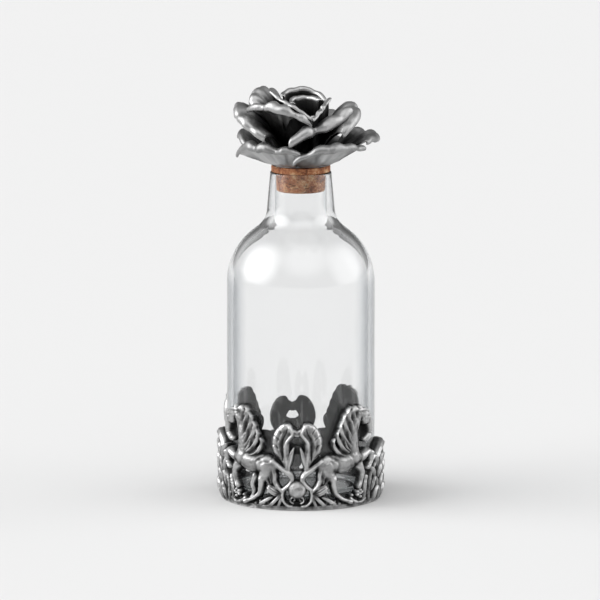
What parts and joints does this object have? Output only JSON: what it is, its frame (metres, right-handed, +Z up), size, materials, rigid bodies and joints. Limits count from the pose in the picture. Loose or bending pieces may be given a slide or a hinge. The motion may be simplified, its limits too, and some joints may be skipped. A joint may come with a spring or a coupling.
{
  "type": "stoppered glass bottle",
  "caption": "Small clear bottle with a cork stopper under a cast rose, in a pierced cast collar of horses and scrolls round its foot.",
  "frame": {"origin": "on the bottle's axis, in the plane that the foot stands on", "axes": "+Z up along the bottle's axis and out of the neck, -Y to the front, where two horses' tails meet"},
  "size_m": [0.057, 0.0576, 0.1406],
  "materials": {
    "clear_glass": "clear, fire polished",
    "natural_cork": "natural cork, pitted",
    "dowel_steel": "plain turned",
    "antique_pewter": "cast pewter, blackened in the recesses and polished on the high spots"
  },
  "bodies": {
    "bottle": {"glass_bottle": "clear_glass", "collar_front": "antique_pewter", "collar_rear": "antique_pewter"},
    "stopper": {"cork": "natural_cork", "stopper_stud": "dowel_steel", "rose_head": "antique_pewter"}
  },
  "joints": [
    {"name": "stopper_draw", "type": "slide", "parent": "bottle", "child": "stopper", "axis": [0, 0, 1], "range_m": [0, 0.025]}
  ]
}
